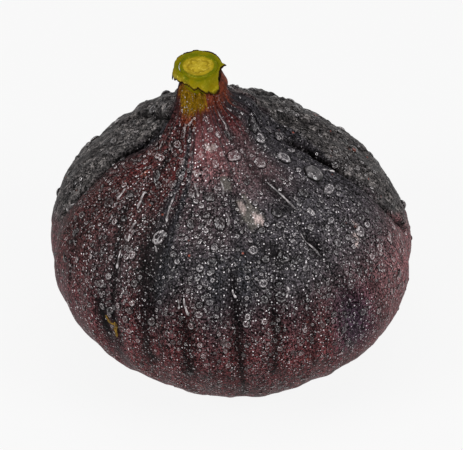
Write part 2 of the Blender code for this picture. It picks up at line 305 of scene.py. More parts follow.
# Colours of the skin
SLATE = (0.0120, 0.0117, 0.0136)
MAROON = (0.0240, 0.0090, 0.0090)
DARK_RED = (0.054, 0.0138, 0.0150)
MAUVE = (0.092, 0.032, 0.036)
PALE_MAUVE = (0.108, 0.048, 0.050)
GREY_MAUVE = (0.032, 0.0285, 0.0320)
FELT = (0.0210, 0.0190, 0.0190)
PALE_FELT = (0.105, 0.096, 0.092)
BROWN_FELT = (0.060, 0.040, 0.040)
DEEP_RED = (0.050, 0.0036, 0.0032)
WINE = (0.118, 0.031, 0.034)
ORANGE_BROWN = (0.090, 0.0190, 0.0085)
OLIVE = (0.128, 0.069, 0.0008)
VIOLET = (0.013, 0.011, 0.023)
# BLACK also lays the painted shade in the folds, the furrows and between the veins
BLACK = (0.0010, 0.0006, 0.0007)
RUST = (0.17, 0.050, 0.032)
RUST_SPECK = (0.17, 0.045, 0.030)
# The next two colours are a painted highlight and a painted pale reflection
HIGHLIGHT_PALE = (0.24, 0.19, 0.18)
REFLECTION_GREY = (0.058, 0.053, 0.047)

# Colours of the water, the crack, the stalk and the scales
# The mist's two colours are painted glints of droplets too fine to be shaped
MIST_GLINT_GREY = (0.22, 0.20, 0.205)
MIST_GLINT_WHITE = (0.85, 0.80, 0.82)
# The light in the water is painted light, and its rim colour a painted shade
WATER_LIGHT = (0.50, 0.465, 0.47)
WATER_RIM_SHADE = (0.0012, 0.0008, 0.0008)
CRACK_BROWN = (0.030, 0.015, 0.003)
CRACK_OCHRE = (0.190, 0.108, 0.012)
STALK_YELLOW = (0.165, 0.122, 0.0008)
STALK_GREEN = (0.064, 0.080, 0.0008)
STALK_BLOTCH = (0.11, 0.075, 0.001)
PITH = (0.285, 0.210, 0.014)
# The pale pith colour also lays a painted sheen on the collar
PALE_PITH = (0.46, 0.36, 0.05)
PITH_RING = (0.13, 0.085, 0.002)
TORN_BROWN = (0.012, 0.004, 0.0015)
SCALE_BROWN = (0.05, 0.014, 0.010)
SCALE_TAN = (0.26, 0.12, 0.06)


# ---------------------------------------------------------------- tools


def only(piece):
    """Selects one piece alone and makes it the active one."""
    bpy.ops.object.select_all(action="DESELECT")
    piece.select_set(True)
    bpy.context.view_layer.objects.active = piece


def edit_all():
    """Goes into edit mode with the whole of the active piece selected."""
    bpy.ops.object.mode_set(mode="EDIT")
    bpy.ops.mesh.select_all(action="SELECT")


def apply_modifier(piece, kind, **settings):
    """Adds one modifier to a piece, sets it and applies it."""
    modifier = piece.modifiers.new(kind.lower(), kind)
    for name, value in settings.items():
        setattr(modifier, name, value)
    only(piece)
    bpy.ops.object.modifier_apply(modifier=modifier.name)


def points_of(piece):
    """A piece's vertices as rows of x, y and z in mm."""
    flat = np.empty(len(piece.data.vertices) * 3)
    piece.data.vertices.foreach_get("co", flat)
    return flat.reshape(-1, 3) / MM


def normals_of(piece):
    """A piece's vertex normals as unit rows."""
    flat = np.empty(len(piece.data.vertices) * 3)
    piece.data.vertices.foreach_get("normal", flat)
    return flat.reshape(-1, 3)


def move_points(piece, points):
    """Sets a piece's vertices from rows of x, y and z in mm."""
    piece.data.vertices.foreach_set("co", (points * MM).ravel())
    piece.data.update()


def paint(piece, name, values):
    """Stores one number per vertex, or one for them all, under a name that a material can read."""
    layer = piece.data.attributes.new(name, "FLOAT", "POINT")
    layer.data.foreach_set("value", np.full(len(piece.data.vertices), values, dtype=np.float32))


def store_vector(piece, name, values):
    """Stores one row of three numbers per vertex under a name that a material can read."""
    layer = piece.data.attributes.new(name, "FLOAT_VECTOR", "POINT")
    layer.data.foreach_set("vector", np.asarray(values, dtype=np.float32).ravel())


def store_colour(piece, name, values):
    """Stores one colour per vertex under a name that a material can read."""
    layer = piece.data.attributes.new(name, "FLOAT_COLOR", "POINT")
    solid = np.ones((len(values), 1))
    layer.data.foreach_set("color", np.hstack([values, solid]).astype(np.float32).ravel())


def ripples(points, wavelength, seed, count=30):
    """Smooth noise about zero with a spread of one: seeded waves of one length, running every way."""
    rng = np.random.default_rng(SEED * 1000 + seed)
    ways = rng.normal(size=(count, points.shape[1]))
    ways /= np.linalg.norm(ways, axis=1)[:, None]
    phases = rng.uniform(0, 2 * math.pi, count)
    return np.cos(points @ ways.T * (2 * math.pi / wavelength) + phases).sum(1) * math.sqrt(2 / count)


def fade(values, start, end):
    """A smooth step from 0 at start to 1 at end."""
    share = np.clip((values - start) / (end - start), 0, 1)
    return share * share * (3 - 2 * share)


def between(values, low, high, soft):
    """1 between two limits, fading to 0 over a soft distance outside them."""
    return fade(values, low - soft, low + soft) * (1 - fade(values, high - soft, high + soft))


def apart(a, b):
    """The signed difference between angles in degrees."""
    return (a - b + 180) % 360 - 180


def placed(name, data):
    """A new object that holds the data, linked to the scene."""
    thing = bpy.data.objects.new(name, data)
    bpy.context.scene.collection.objects.link(thing)
    return thing


def new_mesh_object(name, points, faces):
    """An object of its own mesh from points in mm."""
    mesh = bpy.data.meshes.new(name)
    mesh.from_pydata((points * MM).tolist(), [], faces)
    mesh.validate()
    mesh.shade_smooth()
    return placed(name, mesh)


def finished(piece, material):
    """Gives a shaped piece its material and shades it smooth."""
    piece.data.materials.append(material)
    piece.data.shade_smooth()
    return piece


# ---------------------------------------------------------------- materials


def new_material(name):
    """A new material with a shader to set."""
    material = bpy.data.materials.new(name)
    material.use_nodes = True
    return material


class Nodes:
    """Short calls for building one material's nodes."""

    def __init__(self, material):
        self.tree = material.node_tree
        self.shader = self.tree.nodes["Principled BSDF"]

    def add(self, kind, **settings):
        node = self.tree.nodes.new(kind)
        for name, value in settings.items():
            setattr(node, name, value)
        return node

    def link(self, source, target):
        self.tree.links.new(source, target)

    def feed(self, value, socket):
        """Links an output to a socket, or sets the socket to a plain value."""
        if isinstance(value, bpy.types.NodeSocket):
            self.link(value, socket)
        elif isinstance(value, tuple) and len(value) == 3 and len(socket.default_value) == 4:
            socket.default_value = (*value, 1.0)
        else:
            socket.default_value = value

    def attribute(self, name, output="Fac"):
        return self.add("ShaderNodeAttribute", attribute_name=name).outputs[output]

    def maths(self, operation, first, second=0.0, clamp=False):
        node = self.add("ShaderNodeMath", operation=operation, use_clamp=clamp)
        self.feed(first, node.inputs[0])
        self.feed(second, node.inputs[1])
        return node.outputs[0]

    def times(self, first, second):
        return self.maths("MULTIPLY", first, second)

    def mix(self, factor, first, second):
        node = self.add("ShaderNodeMix", data_type="RGBA")
        self.feed(factor, node.inputs["Factor"])
        self.feed(first, node.inputs["A"])
        self.feed(second, node.inputs["B"])
        return node.outputs["Result"]

    def scaled(self, colour, factor):
        """A colour times one number, which may be over 1."""
        node = self.add("ShaderNodeVectorMath", operation="SCALE")
        self.link(colour, node.inputs[0])
        self.feed(factor, node.inputs["Scale"])
        return node.outputs[0]

    def noise(self, vector, scale, detail=2.0, roughness=0.5, distortion=0.0):
        node = self.add("ShaderNodeTexNoise")
        self.link(vector, node.inputs["Vector"])
        node.inputs["Scale"].default_value = scale
        node.inputs["Detail"].default_value = detail
        node.inputs["Roughness"].default_value = roughness
        node.inputs["Distortion"].default_value = distortion
        return node.outputs["Fac"]

    def cells(self, vector, scale):
        """Cells, each with a colour of its own and how far a place in it is from its middle."""
        node = self.add("ShaderNodeTexVoronoi")
        self.link(vector, node.inputs["Vector"])
        node.inputs["Scale"].default_value = scale
        return node

    def remap(self, value, low, high, to_low=0.0, to_high=1.0):
        """A smooth step from one number at the low limit to another at the high limit."""
        node = self.add("ShaderNodeMapRange", interpolation_type="SMOOTHSTEP")
        self.link(value, node.inputs["Value"])
        node.inputs["From Min"].default_value = low
        node.inputs["From Max"].default_value = high
        node.inputs["To Min"].default_value = to_low
        node.inputs["To Max"].default_value = to_high
        return node.outputs["Result"]

    def bump(self, height, strength, distance, below=None):
        node = self.add("ShaderNodeBump")
        self.link(height, node.inputs["Height"])
        node.inputs["Strength"].default_value = strength
        node.inputs["Distance"].default_value = distance
        if below is not None:
            self.link(below, node.inputs["Normal"])
        return node.outputs["Normal"]

    def here(self):
        return self.add("ShaderNodeTexCoord").outputs["Object"]


def grains(n, here, per_metre, smallest, largest, rarest):
    """Tiny round grains from 0 to 1, each of its own brightness; a higher rarest leaves fewer."""
    cell = n.cells(here, per_metre)
    chosen = n.add("ShaderNodeSeparateColor")
    n.link(cell.outputs["Color"], chosen.inputs["Color"])
    dot = n.remap(cell.outputs["Distance"], smallest, largest, 1.0, 0.0)
    return n.times(dot, n.remap(chosen.outputs["Red"], rarest, 1.0))


def skin_material():
    """The painted skin: fine grain and creases, painted glints of a mist too fine to stand out, and rare
    rust specks.
    """
    material = new_material("fig_skin_wet")
    n = Nodes(material)
    here, flow, tone = n.here(), n.attribute("flow", "Vector"), n.attribute("tone", "Color")
    fine = n.noise(here, 3000.0, 2.0, 0.75)
    powder = n.noise(here, 800.0, 4.0, 0.7)
    creases = n.noise(flow, 1.9, 4.0, 0.65, 0.4)
    shade = n.times(n.remap(fine, 0.40, 0.62, 0.04, 2.6), n.remap(powder, 0.34, 0.66, 0.6, 1.4))
    shade = n.times(shade, n.remap(creases, 0.34, 0.56, 0.40, 1.15))
    smooth = n.attribute("smooth")
    shade = n.maths("ADD", n.times(shade, n.maths("SUBTRACT", 1.0, smooth)), smooth)
    colour = n.scaled(tone, shade)

    # Where the mist lies, grey and white grains are painted glints of its droplets
    mist = n.attribute("mist")
    grey_mist_glints = n.times(grains(n, here, 3100.0, 0.14, 0.42, 0.25), n.times(mist, 0.95))
    glinting_mist_beads = n.times(grains(n, here, 2400.0, 0.14, 0.36, 0.60), mist)
    colour = n.mix(grey_mist_glints, colour, n.mix(0.6, n.scaled(tone, 4.0), MIST_GLINT_GREY))
    colour = n.mix(glinting_mist_beads, colour, MIST_GLINT_WHITE)
    colour = n.mix(grains(n, here, 480.0, 0.05, 0.13, 0.80), colour, RUST_SPECK)
    n.link(colour, n.shader.inputs["Base Color"])

    n.link(n.remap(powder, 0.3, 0.7, 0.42, 0.62), n.shader.inputs["Roughness"])
    rough = n.bump(fine, 0.6, 0.00006)
    rough = n.bump(creases, 0.4, 0.00012, rough)
    rough = n.bump(glinting_mist_beads, 0.8, 0.00009, rough)
    n.link(rough, n.shader.inputs["Normal"])
    n.shader.inputs["Specular IOR Level"].default_value = 0.04
    return material


def bead_material(name, edge, glow, shine, softness):
    """Water on the skin: painted shade from the edge share of its radius out, a broken ring of painted
    light inside.

    The skin's own colour shows within, painted brighter in some drops and darker in others, under
    painted sparks of light; a pale attribute adds a painted pale reflection.
    """
    material = new_material(name)
    n = Nodes(material)
    within = n.attribute("within", "Vector")
    axes = n.add("ShaderNodeSeparateXYZ")
    n.link(within, axes.inputs[0])
    down, across = axes.outputs["X"], axes.outputs["Y"]
    own = n.add("ShaderNodeTexWhiteNoise", noise_dimensions="1D")
    n.link(axes.outputs["Z"], own.inputs["W"])
    own = own.outputs["Value"]
    far = n.maths("SQRT", n.maths("ADD", n.times(down, down), n.times(across, across)))
    # The dark rim is painted shade round the drop's foot
    outline = n.remap(far, edge, edge + 0.14)
    # The ring, the crescent and the broken light are painted light gathered in the drop
    ring = n.remap(far, edge - 0.34, edge - 0.18)
    ring = n.times(ring, n.remap(far, edge - 0.12, edge + 0.02, 1.0, 0.0))
    broken = n.remap(n.noise(within, 2.4, 2.0, 0.6), 0.47, 0.58)
    crescent = n.times(ring, n.remap(down, 0.0, 0.5, 0.0, 0.45 * glow))
    # Painted sparks of highlight
    sparks = n.remap(n.noise(within, 5.0, 1.0, 0.5), 0.60, 0.70)
    light = n.maths("ADD", crescent, n.times(ring, n.times(broken, glow)))
    light = n.times(n.maths("ADD", light, sparks, True), n.remap(own, 0.0, 1.0, 0.20, 1.10))
    # The pale attribute adds a painted pale reflection, mottled
    reflection_mottle = n.remap(n.noise(n.here(), 1100.0, 2.0, 0.6), 0.36, 0.64, 0.3, 1.7)
    light = n.maths("MAXIMUM", light, n.times(n.attribute("pale"), reflection_mottle), True)
    # The skin seen through, painted brighter in some drops and darker in others
    through = n.scaled(n.attribute("tone", "Color"), n.remap(own, 0.1, 0.9, 0.35, 1.7))
    colour = n.mix(light, through, WATER_LIGHT)
    colour = n.mix(outline, colour, WATER_RIM_SHADE)
    n.link(colour, n.shader.inputs["Base Color"])
    n.shader.inputs["Roughness"].default_value = softness
    n.shader.inputs["Specular IOR Level"].default_value = shine
    return material


def crack_material():
    """Healed skin over a crack: ochre, dry and crumbly."""
    material = new_material("healed_crack")
    n = Nodes(material)
    grain = n.noise(n.here(), 1800.0, 4.0, 0.7)
    colour = n.mix(n.remap(grain, 0.35, 0.65), CRACK_BROWN, CRACK_OCHRE)
    n.link(colour, n.shader.inputs["Base Color"])
    n.link(n.remap(grain, 0.3, 0.7, 0.55, 0.75), n.shader.inputs["Roughness"])
    n.link(n.bump(grain, 0.7, 0.0001), n.shader.inputs["Normal"])
    n.shader.inputs["Specular IOR Level"].default_value = 0.15
    return material


def stalk_material():
    """The cut green stalk: pale pith, a ring in it, green under the skin, and a brown torn edge."""
    material = new_material("cut_green_stalk")
    n = Nodes(material)
    here = n.here()
    grain = n.noise(here, 2200.0, 3.0, 0.65)
    blotch = n.noise(here, 520.0, 3.0, 0.6)
    colour = n.mix(n.attribute("pith"), STALK_YELLOW, PITH)
    colour = n.mix(n.attribute("green"), colour, STALK_GREEN)
    colour = n.mix(n.attribute("ring"), colour, PITH_RING)
    colour = n.mix(n.remap(blotch, 0.4, 0.7, 0.0, 0.35), colour, STALK_BLOTCH)
    # On the collar the pale pith colour also lays a painted sheen
    pale = n.times(n.attribute("pith"), n.remap(grain, 0.5, 0.68, 0.0, 0.6))
    colour = n.mix(pale, colour, PALE_PITH)
    colour = n.mix(n.attribute("edge"), colour, TORN_BROWN)
    n.link(colour, n.shader.inputs["Base Color"])
    n.link(n.remap(grain, 0.3, 0.7, 0.35, 0.55), n.shader.inputs["Roughness"])
    rough = n.bump(grain, 0.35, 0.00008)
    n.link(n.bump(blotch, 0.3, 0.0002, rough), n.shader.inputs["Normal"])
    n.shader.inputs["Specular IOR Level"].default_value = 0.012
    n.shader.inputs["Coat Weight"].default_value = 0.01
    n.shader.inputs["Coat Roughness"].default_value = 0.15
    return material


def scale_material():
    """The eye's dry brown scales."""
    material = new_material("dry_eye_scale")
    n = Nodes(material)
    grain = n.noise(n.here(), 1400.0, 4.0, 0.65)
    n.link(n.mix(grain, SCALE_BROWN, SCALE_TAN), n.shader.inputs["Base Color"])
    n.link(n.remap(grain, 0.3, 0.7, 0.6, 0.8), n.shader.inputs["Roughness"])
    n.link(n.bump(grain, 0.6, 0.0001), n.shader.inputs["Normal"])
    return material


def table_material():
    """A bright pale table that keeps only a trace of the shadows that fall on it."""
    material = new_material("pale_table")
    shader = material.node_tree.nodes["Principled BSDF"]
    shader.inputs["Base Color"].default_value = (TABLE_GREY, TABLE_GREY, TABLE_GREY, 1.0)
    shader.inputs["Roughness"].default_value = 0.9
    shader.inputs["Specular IOR Level"].default_value = 0.0
    shader.inputs["Emission Color"].default_value = (1.0, 1.0, 1.0, 1.0)
    shader.inputs["Emission Strength"].default_value = TABLE_GLOW
    return material


# ---------------------------------------------------------------- the skin


def merged_copy(node, name):
    """A CAD node's solid on its own object, its points merged and its triangles paired into quads."""
    piece = placed(name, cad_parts[node].data.copy())
    piece.data.materials.clear()
    only(piece)
    bpy.ops.mesh.customdata_custom_splitnormals_clear()
    edit_all()
    bpy.ops.mesh.remove_doubles(threshold=0.001 * MM)
    bpy.ops.mesh.tris_convert_to_quads(face_threshold=math.radians(60), shape_threshold=math.radians(60))
    bpy.ops.object.mode_set(mode="OBJECT")
    return piece


def fruit_axis(piece):
    """A function that gives the middle of the fruit, as rows of x and y, at heights in mm."""
    points = points_of(piece)
    heights = np.round(points[:, 2], 2)
    levels = np.unique(heights)
    middles = np.array([points[heights == level, :2].mean(0) for level in levels])

    def axis_at(z):
        return np.stack([np.interp(z, levels, middles[:, 0]), np.interp(z, levels, middles[:, 1])], 1)

    return axis_at


def around(points, axis_at):
    """Each point's angle in degrees, height and radius in mm, about the fruit's leaning axis."""
    out = points[:, :2] - axis_at(points[:, 2])
    return np.degrees(np.arctan2(out[:, 0], -out[:, 1])), points[:, 2], np.hypot(out[:, 0], out[:, 1])


def vein_height(angle, z, radius, places):
    """Raised veins that run from the neck to the base, strongest on the neck."""
    bend = 2.0 * ripples(np.stack([places[:, 0], places[:, 1], z * 0.6], 1), 26.0, 1)
    turn = np.radians(angle + bend)
    strong = ripples(np.stack([np.cos(turn) * 9, np.sin(turn) * 9, z * 0.08], 1), 5.0, 2)
    main = 1 - np.abs(np.sin(turn * 12.5 + 0.4)) ** 0.8
    thin = 1 - np.abs(np.sin(turn * 21.5 + 1.7)) ** 0.9
    neck = fade(z, 40.0, 50.0) * np.clip(radius / 8.0, 0.35, 1)
    neck = neck * (1 - 0.5 * fade(z, 50.0, 54.0))
    uneven = 1 + 0.6 * strong
    return neck * (0.42 * main + 0.08 * thin) * uneven + 0.11 * (1 - neck) * main * uneven


def flow_of(angle, z):
    """Places close together down the skin and far apart across it, for what runs in streaks."""
    turn = np.radians(angle)
    return np.stack([np.sin(turn) * FLOW_RADIUS, -np.cos(turn) * FLOW_RADIUS, z * FLOW_SQUEEZE], 1)


def beside(path, angle, z, radius, soft=2.0):
    """How far each place is, in mm, to the +angle side of a path, and 1 along its own heights."""
    angles, heights = (np.array(row, dtype=float) for row in zip(*reversed(path)))

    def middle(level):
        return np.interp(level, heights, angles)

    slant = np.radians(middle(z + 0.5) - middle(z - 0.5)) * radius
    aside = np.radians(apart(angle, middle(z))) * radius / np.hypot(1, slant)
    return aside, between(z, heights[0], heights[-1], soft)


def fold_shape(angle, z, radius, wander):
    """How far the folds draw the skin in or out and pull it sideways, in mm, and their painted shade."""
    height, pull, shadow = np.zeros_like(z), np.zeros_like(z), np.zeros_like(z)
    for path, depth, width, lip, side in FOLDS:
        aside, window = beside(path, angle, z, radius)
        aside = aside + wander
        groove = np.exp(-((aside / width) ** 2))
        out = aside * side
        step = fade(out, 0.0, 0.9) * np.exp(-np.clip(out, 0, None) / 4.5)
        height += window * (lip * step - depth * groove)
        pull -= window * side * lip * 0.8 * np.exp(-(((out - 0.8) / 0.8) ** 2))
        # Painted shade along the groove of each fold
        dark = np.exp(-(((out + 0.1) / (width * 1.2)) ** 2))
        shadow = np.maximum(shadow, window * np.clip(depth * 1.3 * dark, 0, 1))
    return height, pull, shadow


def grow_skin(material):
    """The whole skin, sculpted and painted, and the function that gives the middle of the fruit."""
    skin = merged_copy("fruit", "skin_of_fruit")
    axis_at = fruit_axis(skin)
    apply_modifier(skin, "SUBSURF", levels=2, render_levels=2)
    points, normals = points_of(skin), normals_of(skin)
    angle, z, radius = around(points, axis_at)

    wander = 0.22 * ripples(points, 7.0, 3) + 0.12 * ripples(points, 2.6, 4)
    folds, pull, shadow = fold_shape(angle, z, radius, wander)
    veins = vein_height(angle, z, radius, points)
    flow = flow_of(angle, z)
    lumps = 0.06 * ripples(points, 11.0, 5) + 0.03 * ripples(points, 4.0, 6)
    creases = 0.05 * ripples(flow, 4.5, 7) + 0.03 * ripples(flow, 2.2, 8)
    felt = felted(angle, z, radius)
    wrinkles = fade(z, 34.0, 44.0) * 0.07 * np.abs(ripples(flow * [1, 1, 1.5], 2.6, 9)) * (1 - 0.8 * felt)
    wrinkles = wrinkles - felt * (0.07 * ripples(points, 3.2, 11) + 0.04 * ripples(points, 1.7, 12))
    grain = 0.018 * ripples(points, 1.5, 10)
    height = folds + veins + lumps + creases - wrinkles + grain
    height = np.where(z < 3.0, 0.4 * (lumps + grain), height) * fade(z, 0.1, 2.5)
    for out, round_the_fig, up_the_fig in SWELLINGS:
        height += out * between(angle, *round_the_fig) * between(z, *up_the_fig)
    height += BACK_SWELLING * fade(np.abs(angle), 92, 135) * between(z, 41, 48.8, 2.5)

    # The skin keeps its place at its foot and where it meets the stalk
    free = fade(z, 3.0, 8.0) * (1 - fade(z, 55.6, 56.1))
    outwards = height * np.clip(free + 0.2, 0, 1)
    sideways = np.stack([np.cos(np.radians(angle)), np.sin(np.radians(angle)), np.zeros_like(z)], 1)
    points = points + normals * outwards[:, None] + sideways * (pull * free)[:, None]
    move_points(skin, points)

    store_vector(skin, "flow", flow)
    paint_skin(skin, points, angle, z, radius, flow, shadow, veins, felt)
    return finished(skin, material), axis_at


def felted(angle, z, radius):
    """Where the skin behind the two long folds is dull and felted, from 0 to 1."""
    left, _ = beside(LEFT_FOLD, angle, z, radius)
    right, _ = beside(RIGHT_FOLD, angle, z, radius)
    right = right - 3.2 * fade(z, 41.5, 46.0) * (1 - 0.4 * fade(z, 48.0, 51.0))
    right = right + 0.5 * ripples(np.stack([angle * 0.4, z, z], 1), 5.0, 17)
    behind = np.where(angle < 0, fade(-left, -0.2, 0.8), fade(right, 0.0, 1.2))
    turn = np.radians(angle)
    back = fade(np.abs(angle), 92, 125)
    ragged = back * 3.0 * ripples(np.stack([np.sin(turn) * 20, np.cos(turn) * 20, z * 0.2], 1), 9.0, 13)
    start = np.where(angle < 0, 27, 23) - 5 * back
    low = fade(z + ragged, start, start + 7 + 9 * back)
    return behind * low * (1 - fade(z, 50.5, 53))


def far_from(middle, level, angle, z, radius):
    """How far each place is, in mm, from a spot at an angle and a height, a little wider than high."""
    return np.hypot(np.radians(apart(angle, middle)) * radius, (z - level) * 1.2)


def paint_skin(skin, places, angle, z, radius, flow, shadow, veins, felt):
    """The skin's colour, laid in layers, where mist and drops lie on it, and where its grain is even."""
    patches = ripples(flow * [1, 1, 2.0], 22.0, 20)
    small_patches = ripples(flow * [1, 1, 1.6], 8.0, 21)
    streaks = ripples(flow * [1, 1, 0.7], 3.2, 24)
    mottle = 0.8 * ripples(places, 2.2, 25) + 0.9 * ripples(places, 1.1, 26)
    tone = np.tile(np.array(SLATE), (len(z), 1))
    aside = np.abs(angle)

    def lay(share, colour):
        part = np.clip(share, 0, 1)[:, None]
        tone[:] = tone * (1 - part) + np.array(colour) * part

    left_panel = between(angle, -84, -34, 7) * between(z, 24, 50, 5)
    mottled = 0.16 * patches + 0.14 * small_patches + 0.10 * streaks
    right_top = between(angle, -26, 125, 8) * fade(z, 28, 36)
    lay((0.15 + mottled) * (1 - 0.85 * right_top) + 0.75 * left_panel, MAROON)
    # The paler mauve laid low down and round the sides, here and in the layers below, is partly the skin's
    # own colour and partly painted rim light and light thrown up from the table
    lay(0.5 * between(angle, 40, 100, 15) * (1 - fade(z, 24, 40)), PALE_MAUVE)
    low = 1 - fade(z, 20, 34)
    lay(low * (0.9 + 0.2 * small_patches) * (1 - fade(aside, 40, 70)), DARK_RED)
    lay(low * fade(aside, 40, 75) * (0.75 + 0.25 * small_patches), MAUVE)
    lay((1 - fade(z, 5, 15)) * (0.35 + 0.5 * fade(aside, 10, 45)), MAUVE)
    lay(0.42 * fade(angle, 42, 75) * (1 - fade(z, 26, 36)), PALE_MAUVE)
    lay(0.70 * between(angle, 37, 50, 6) * between(z, 18, 29, 4), VIOLET)
    lay(fade(aside, 105, 135) * (0.55 + 0.30 * small_patches + 0.15 * patches), MAROON)
    lay(low * (1 - fade(aside, 40, 70)) * 0.40 * fade(streaks + 0.5 * mottle, 0.3, 1.8), BLACK)
    lay(felt, FELT)
    lay(felt * (0.06 + 0.27 * mottle), PALE_FELT)
    lay(felt * 0.35 * between(z, 46.5, 52.0, 1.5) * fade(angle, 60, 90), BROWN_FELT)
    below_stalk = between(angle, -22, 18, 10) * between(z, 44.5, 50.5, 2.0)
    lay(0.60 * below_stalk * (1 + 0.2 * streaks), PALE_MAUVE)
    front_shoulder = between(angle, -20, 12, 8) * between(z, 38.5, 44.0, 1.5)
    lay(0.08 * front_shoulder * (1 + 0.4 * streaks), PALE_MAUVE)
    lay(0.45 * between(angle, 18, 82, 10) * between(z, 32, 51, 3), GREY_MAUVE)
    lay(0.30 * between(angle, 14, 56, 8) * between(z, 43, 50, 2), PALE_MAUVE)

    front = 1 - fade(np.abs(apart(angle, -8)), 70, 110)
    neck = fade(z, 48.5, 51.5)
    lay(neck * front * (0.55 + 0.2 * streaks), MAROON)
    left_neck = between(angle, -75, -24, 8) * between(z, 42, 53, 2)
    right_neck = between(angle, 16, 60, 8) * between(z, 48.5, 53.5, 1.5)
    lay((0.25 * left_neck + 0.35 * right_neck) * (0.8 + 0.5 * streaks), DEEP_RED)
    lay(0.35 * between(angle, -24, 22, 8) * between(z, 45.5, 52.5, 2.0) * (1 + 0.3 * streaks), WINE)
    under_stalk = fade(z + 0.5 * streaks, 51.8, 55.2) * (0.9 + 0.1 * small_patches)
    lay(under_stalk * (1 - 0.8 * between(angle, -110, -66, 8)), ORANGE_BROWN)
    olive_edge = angle + 8 * small_patches + 5 * streaks
    olive_levels = [50.7, 51.5, 52.5, 54.0]
    olive_left = np.interp(z, olive_levels, [-30, -36, -46, -68])
    olive_right = np.interp(z, olive_levels, [-20, -17, -14, 10])
    lay(fade(z, 49.5, 51.0) * between(olive_edge, olive_left - 6, olive_right + 8, 8), ORANGE_BROWN)
    lay(fade(z + 0.2 * streaks, 51.0, 53.0) * between(olive_edge, olive_left, olive_right, 7), OLIVE)

    for middle, level, size in SPOTS:
        far = far_from(middle, level, angle, z, radius)
        lay(0.9 * (1 - fade(far, 0.4 * size, size)), RUST)
    # Painted pale reflection where a flat film of water lies
    reflecting_film = np.zeros_like(z)
    for middle, level, size in REFLECTION_PATCHES:
        far = far_from(middle, level, angle, z, radius) + 0.15 * size * mottle
        reflecting_film = np.maximum(reflecting_film, 1 - fade(far, 0.6 * size, size))
    lay(0.85 * reflecting_film, REFLECTION_GREY)
    # Painted highlights on the wet skin
    for middle, level, size in HIGHLIGHT_SPOTS:
        far = far_from(middle, level, angle, z, radius) + 0.25 * size * mottle
        lay(0.8 * (1 - fade(far, 0.5 * size, size)), HIGHLIGHT_PALE)

    # The folds' painted shade, then the dark stripes, partly the skin's own and partly painted shade in
    # its furrows
    stripe_and_shade = shadow.copy()
    wander = 0.35 * ripples(flow, 9.0, 22) + 0.22 * ripples(flow, 3.5, 23)
    for path, width, strength in DARK_STRIPES_AND_FURROW_SHADE:
        off, window = beside(path, angle, z + 1.5 * small_patches, radius)
        stripe_and_shade = np.maximum(stripe_and_shade, strength * window * np.exp(-(((off + wander) / width) ** 2)))
    # Painted shade in the hollows between the neck's raised veins, laid black with the folds and furrows
    vein_groove_shade = fade(-veins, -0.30, 0.05) * fade(z, 42, 48) * 0.28
    lay(np.maximum(stripe_and_shade, vein_groove_shade * front) * (1 - 0.7 * fade(z, 52, 55)), BLACK)
    store_colour(skin, "tone", tone)

    mist = 1 - 0.75 * fade(aside, 45, 80) - 0.15 * fade(-angle, 60, 85)
    mist *= fade(z - 7 * fade(aside, 20, 70), 4, 13) * (1 - 0.6 * fade(z, 46, 51)) * (1 - 0.8 * stripe_and_shade)
    mist *= (1 - 0.4 * between(angle, 5, 80, 12) * between(z, 40, 48, 3)) * (1 - 0.8 * felt)
    paint(skin, "mist", np.clip(mist * (0.9 + 0.3 * small_patches), 0, 1))
    front_of_neck = between(angle, -26, 24, 8) * fade(z, 44, 48)
    right_shoulder = 0.5 * between(angle, 20, 80, 10) * fade(z, 40, 44)
    low_sides = 0.7 * fade(aside, 35, 60) * (1 - fade(z, 18, 30))
    even = np.maximum.reduce([fade(z, 49.5, 52.5), front_of_neck, right_shoulder, low_sides, reflecting_film])
    paint(skin, "smooth", 0.65 * even)
    paint(skin, "open", 1 - 0.95 * np.maximum.reduce([shadow, 0.85 * stripe_and_shade, reflecting_film]))


# ---------------------------------------------------------------- the water


def drop_shape(segments, rings, cut):
    """The points and faces of a unit drop: a ball cut level, and its flat foot filled."""
    bpy.ops.object.select_all(action="DESELECT")
    bpy.ops.mesh.primitive_uv_sphere_add(segments=segments, ring_count=rings, radius=1.0)
    ball = bpy.context.object
    edit_all()
    bpy.ops.mesh.bisect(plane_co=(0, 0, cut), plane_no=(0, 0, 1), use_fill=True, clear_inner=True)
    bpy.ops.object.mode_set(mode="OBJECT")
    points = points_of(ball) * MM
    points[:, 2] -= cut
    reach = np.hypot(points[:, 0], points[:, 1]).max()
    faces = [list(face.vertices) for face in ball.data.polygons]
    mesh = ball.data
    bpy.data.objects.remove(ball)
    bpy.data.meshes.remove(mesh)
    return points / reach, faces


def tangents(normals):
    """For each normal, the way downhill along the skin and the way across, as unit rows."""
    down = np.array([0.0, 0.0, -1.0]) - normals * -normals[:, 2:3]
    # Where the skin lies level, no way is downhill and any will do
    down += 1e-6
    down /= np.linalg.norm(down, axis=1)[:, None]
    return down, np.cross(normals, down)


def within_drop(points, seeds):
    """How far down and across each point of each copied drop lies, and a number of the copy's own."""
    flat = np.tile(points[:, :2], (len(seeds), 1))
    return np.column_stack([flat, np.repeat(seeds, len(points))])


def copied_drops(name, shape, places, normals, radii, heights, stretch, skin, under, material):
    """One object with a copy of a drop at every place, turned to the skin and coloured by it."""
    points, faces = shape
    down, across = tangents(normals)
    along = points[None, :, 0] * (radii * stretch)[:, None]
    aside = points[None, :, 1] * radii[:, None]
    up = points[None, :, 2] * (radii * heights)[:, None] - SUNK_SHARE * radii[:, None]
    made = (
        places[:, None, :]
        + along[..., None] * down[:, None, :]
        + aside[..., None] * across[:, None, :]
        + up[..., None] * normals[:, None, :]
    )
    count = len(points)
    all_faces = [[v + i * count for v in face] for i in range(len(places)) for face in faces]
    piece = new_mesh_object(name, made.reshape(-1, 3), all_faces)
    skin.tint(piece, np.repeat(under, count))
    store_vector(piece, "within", within_drop(points, SEED_STEP * np.arange(len(places))))
    paint(piece, "pale", 0.0)
    return finished(piece, material)


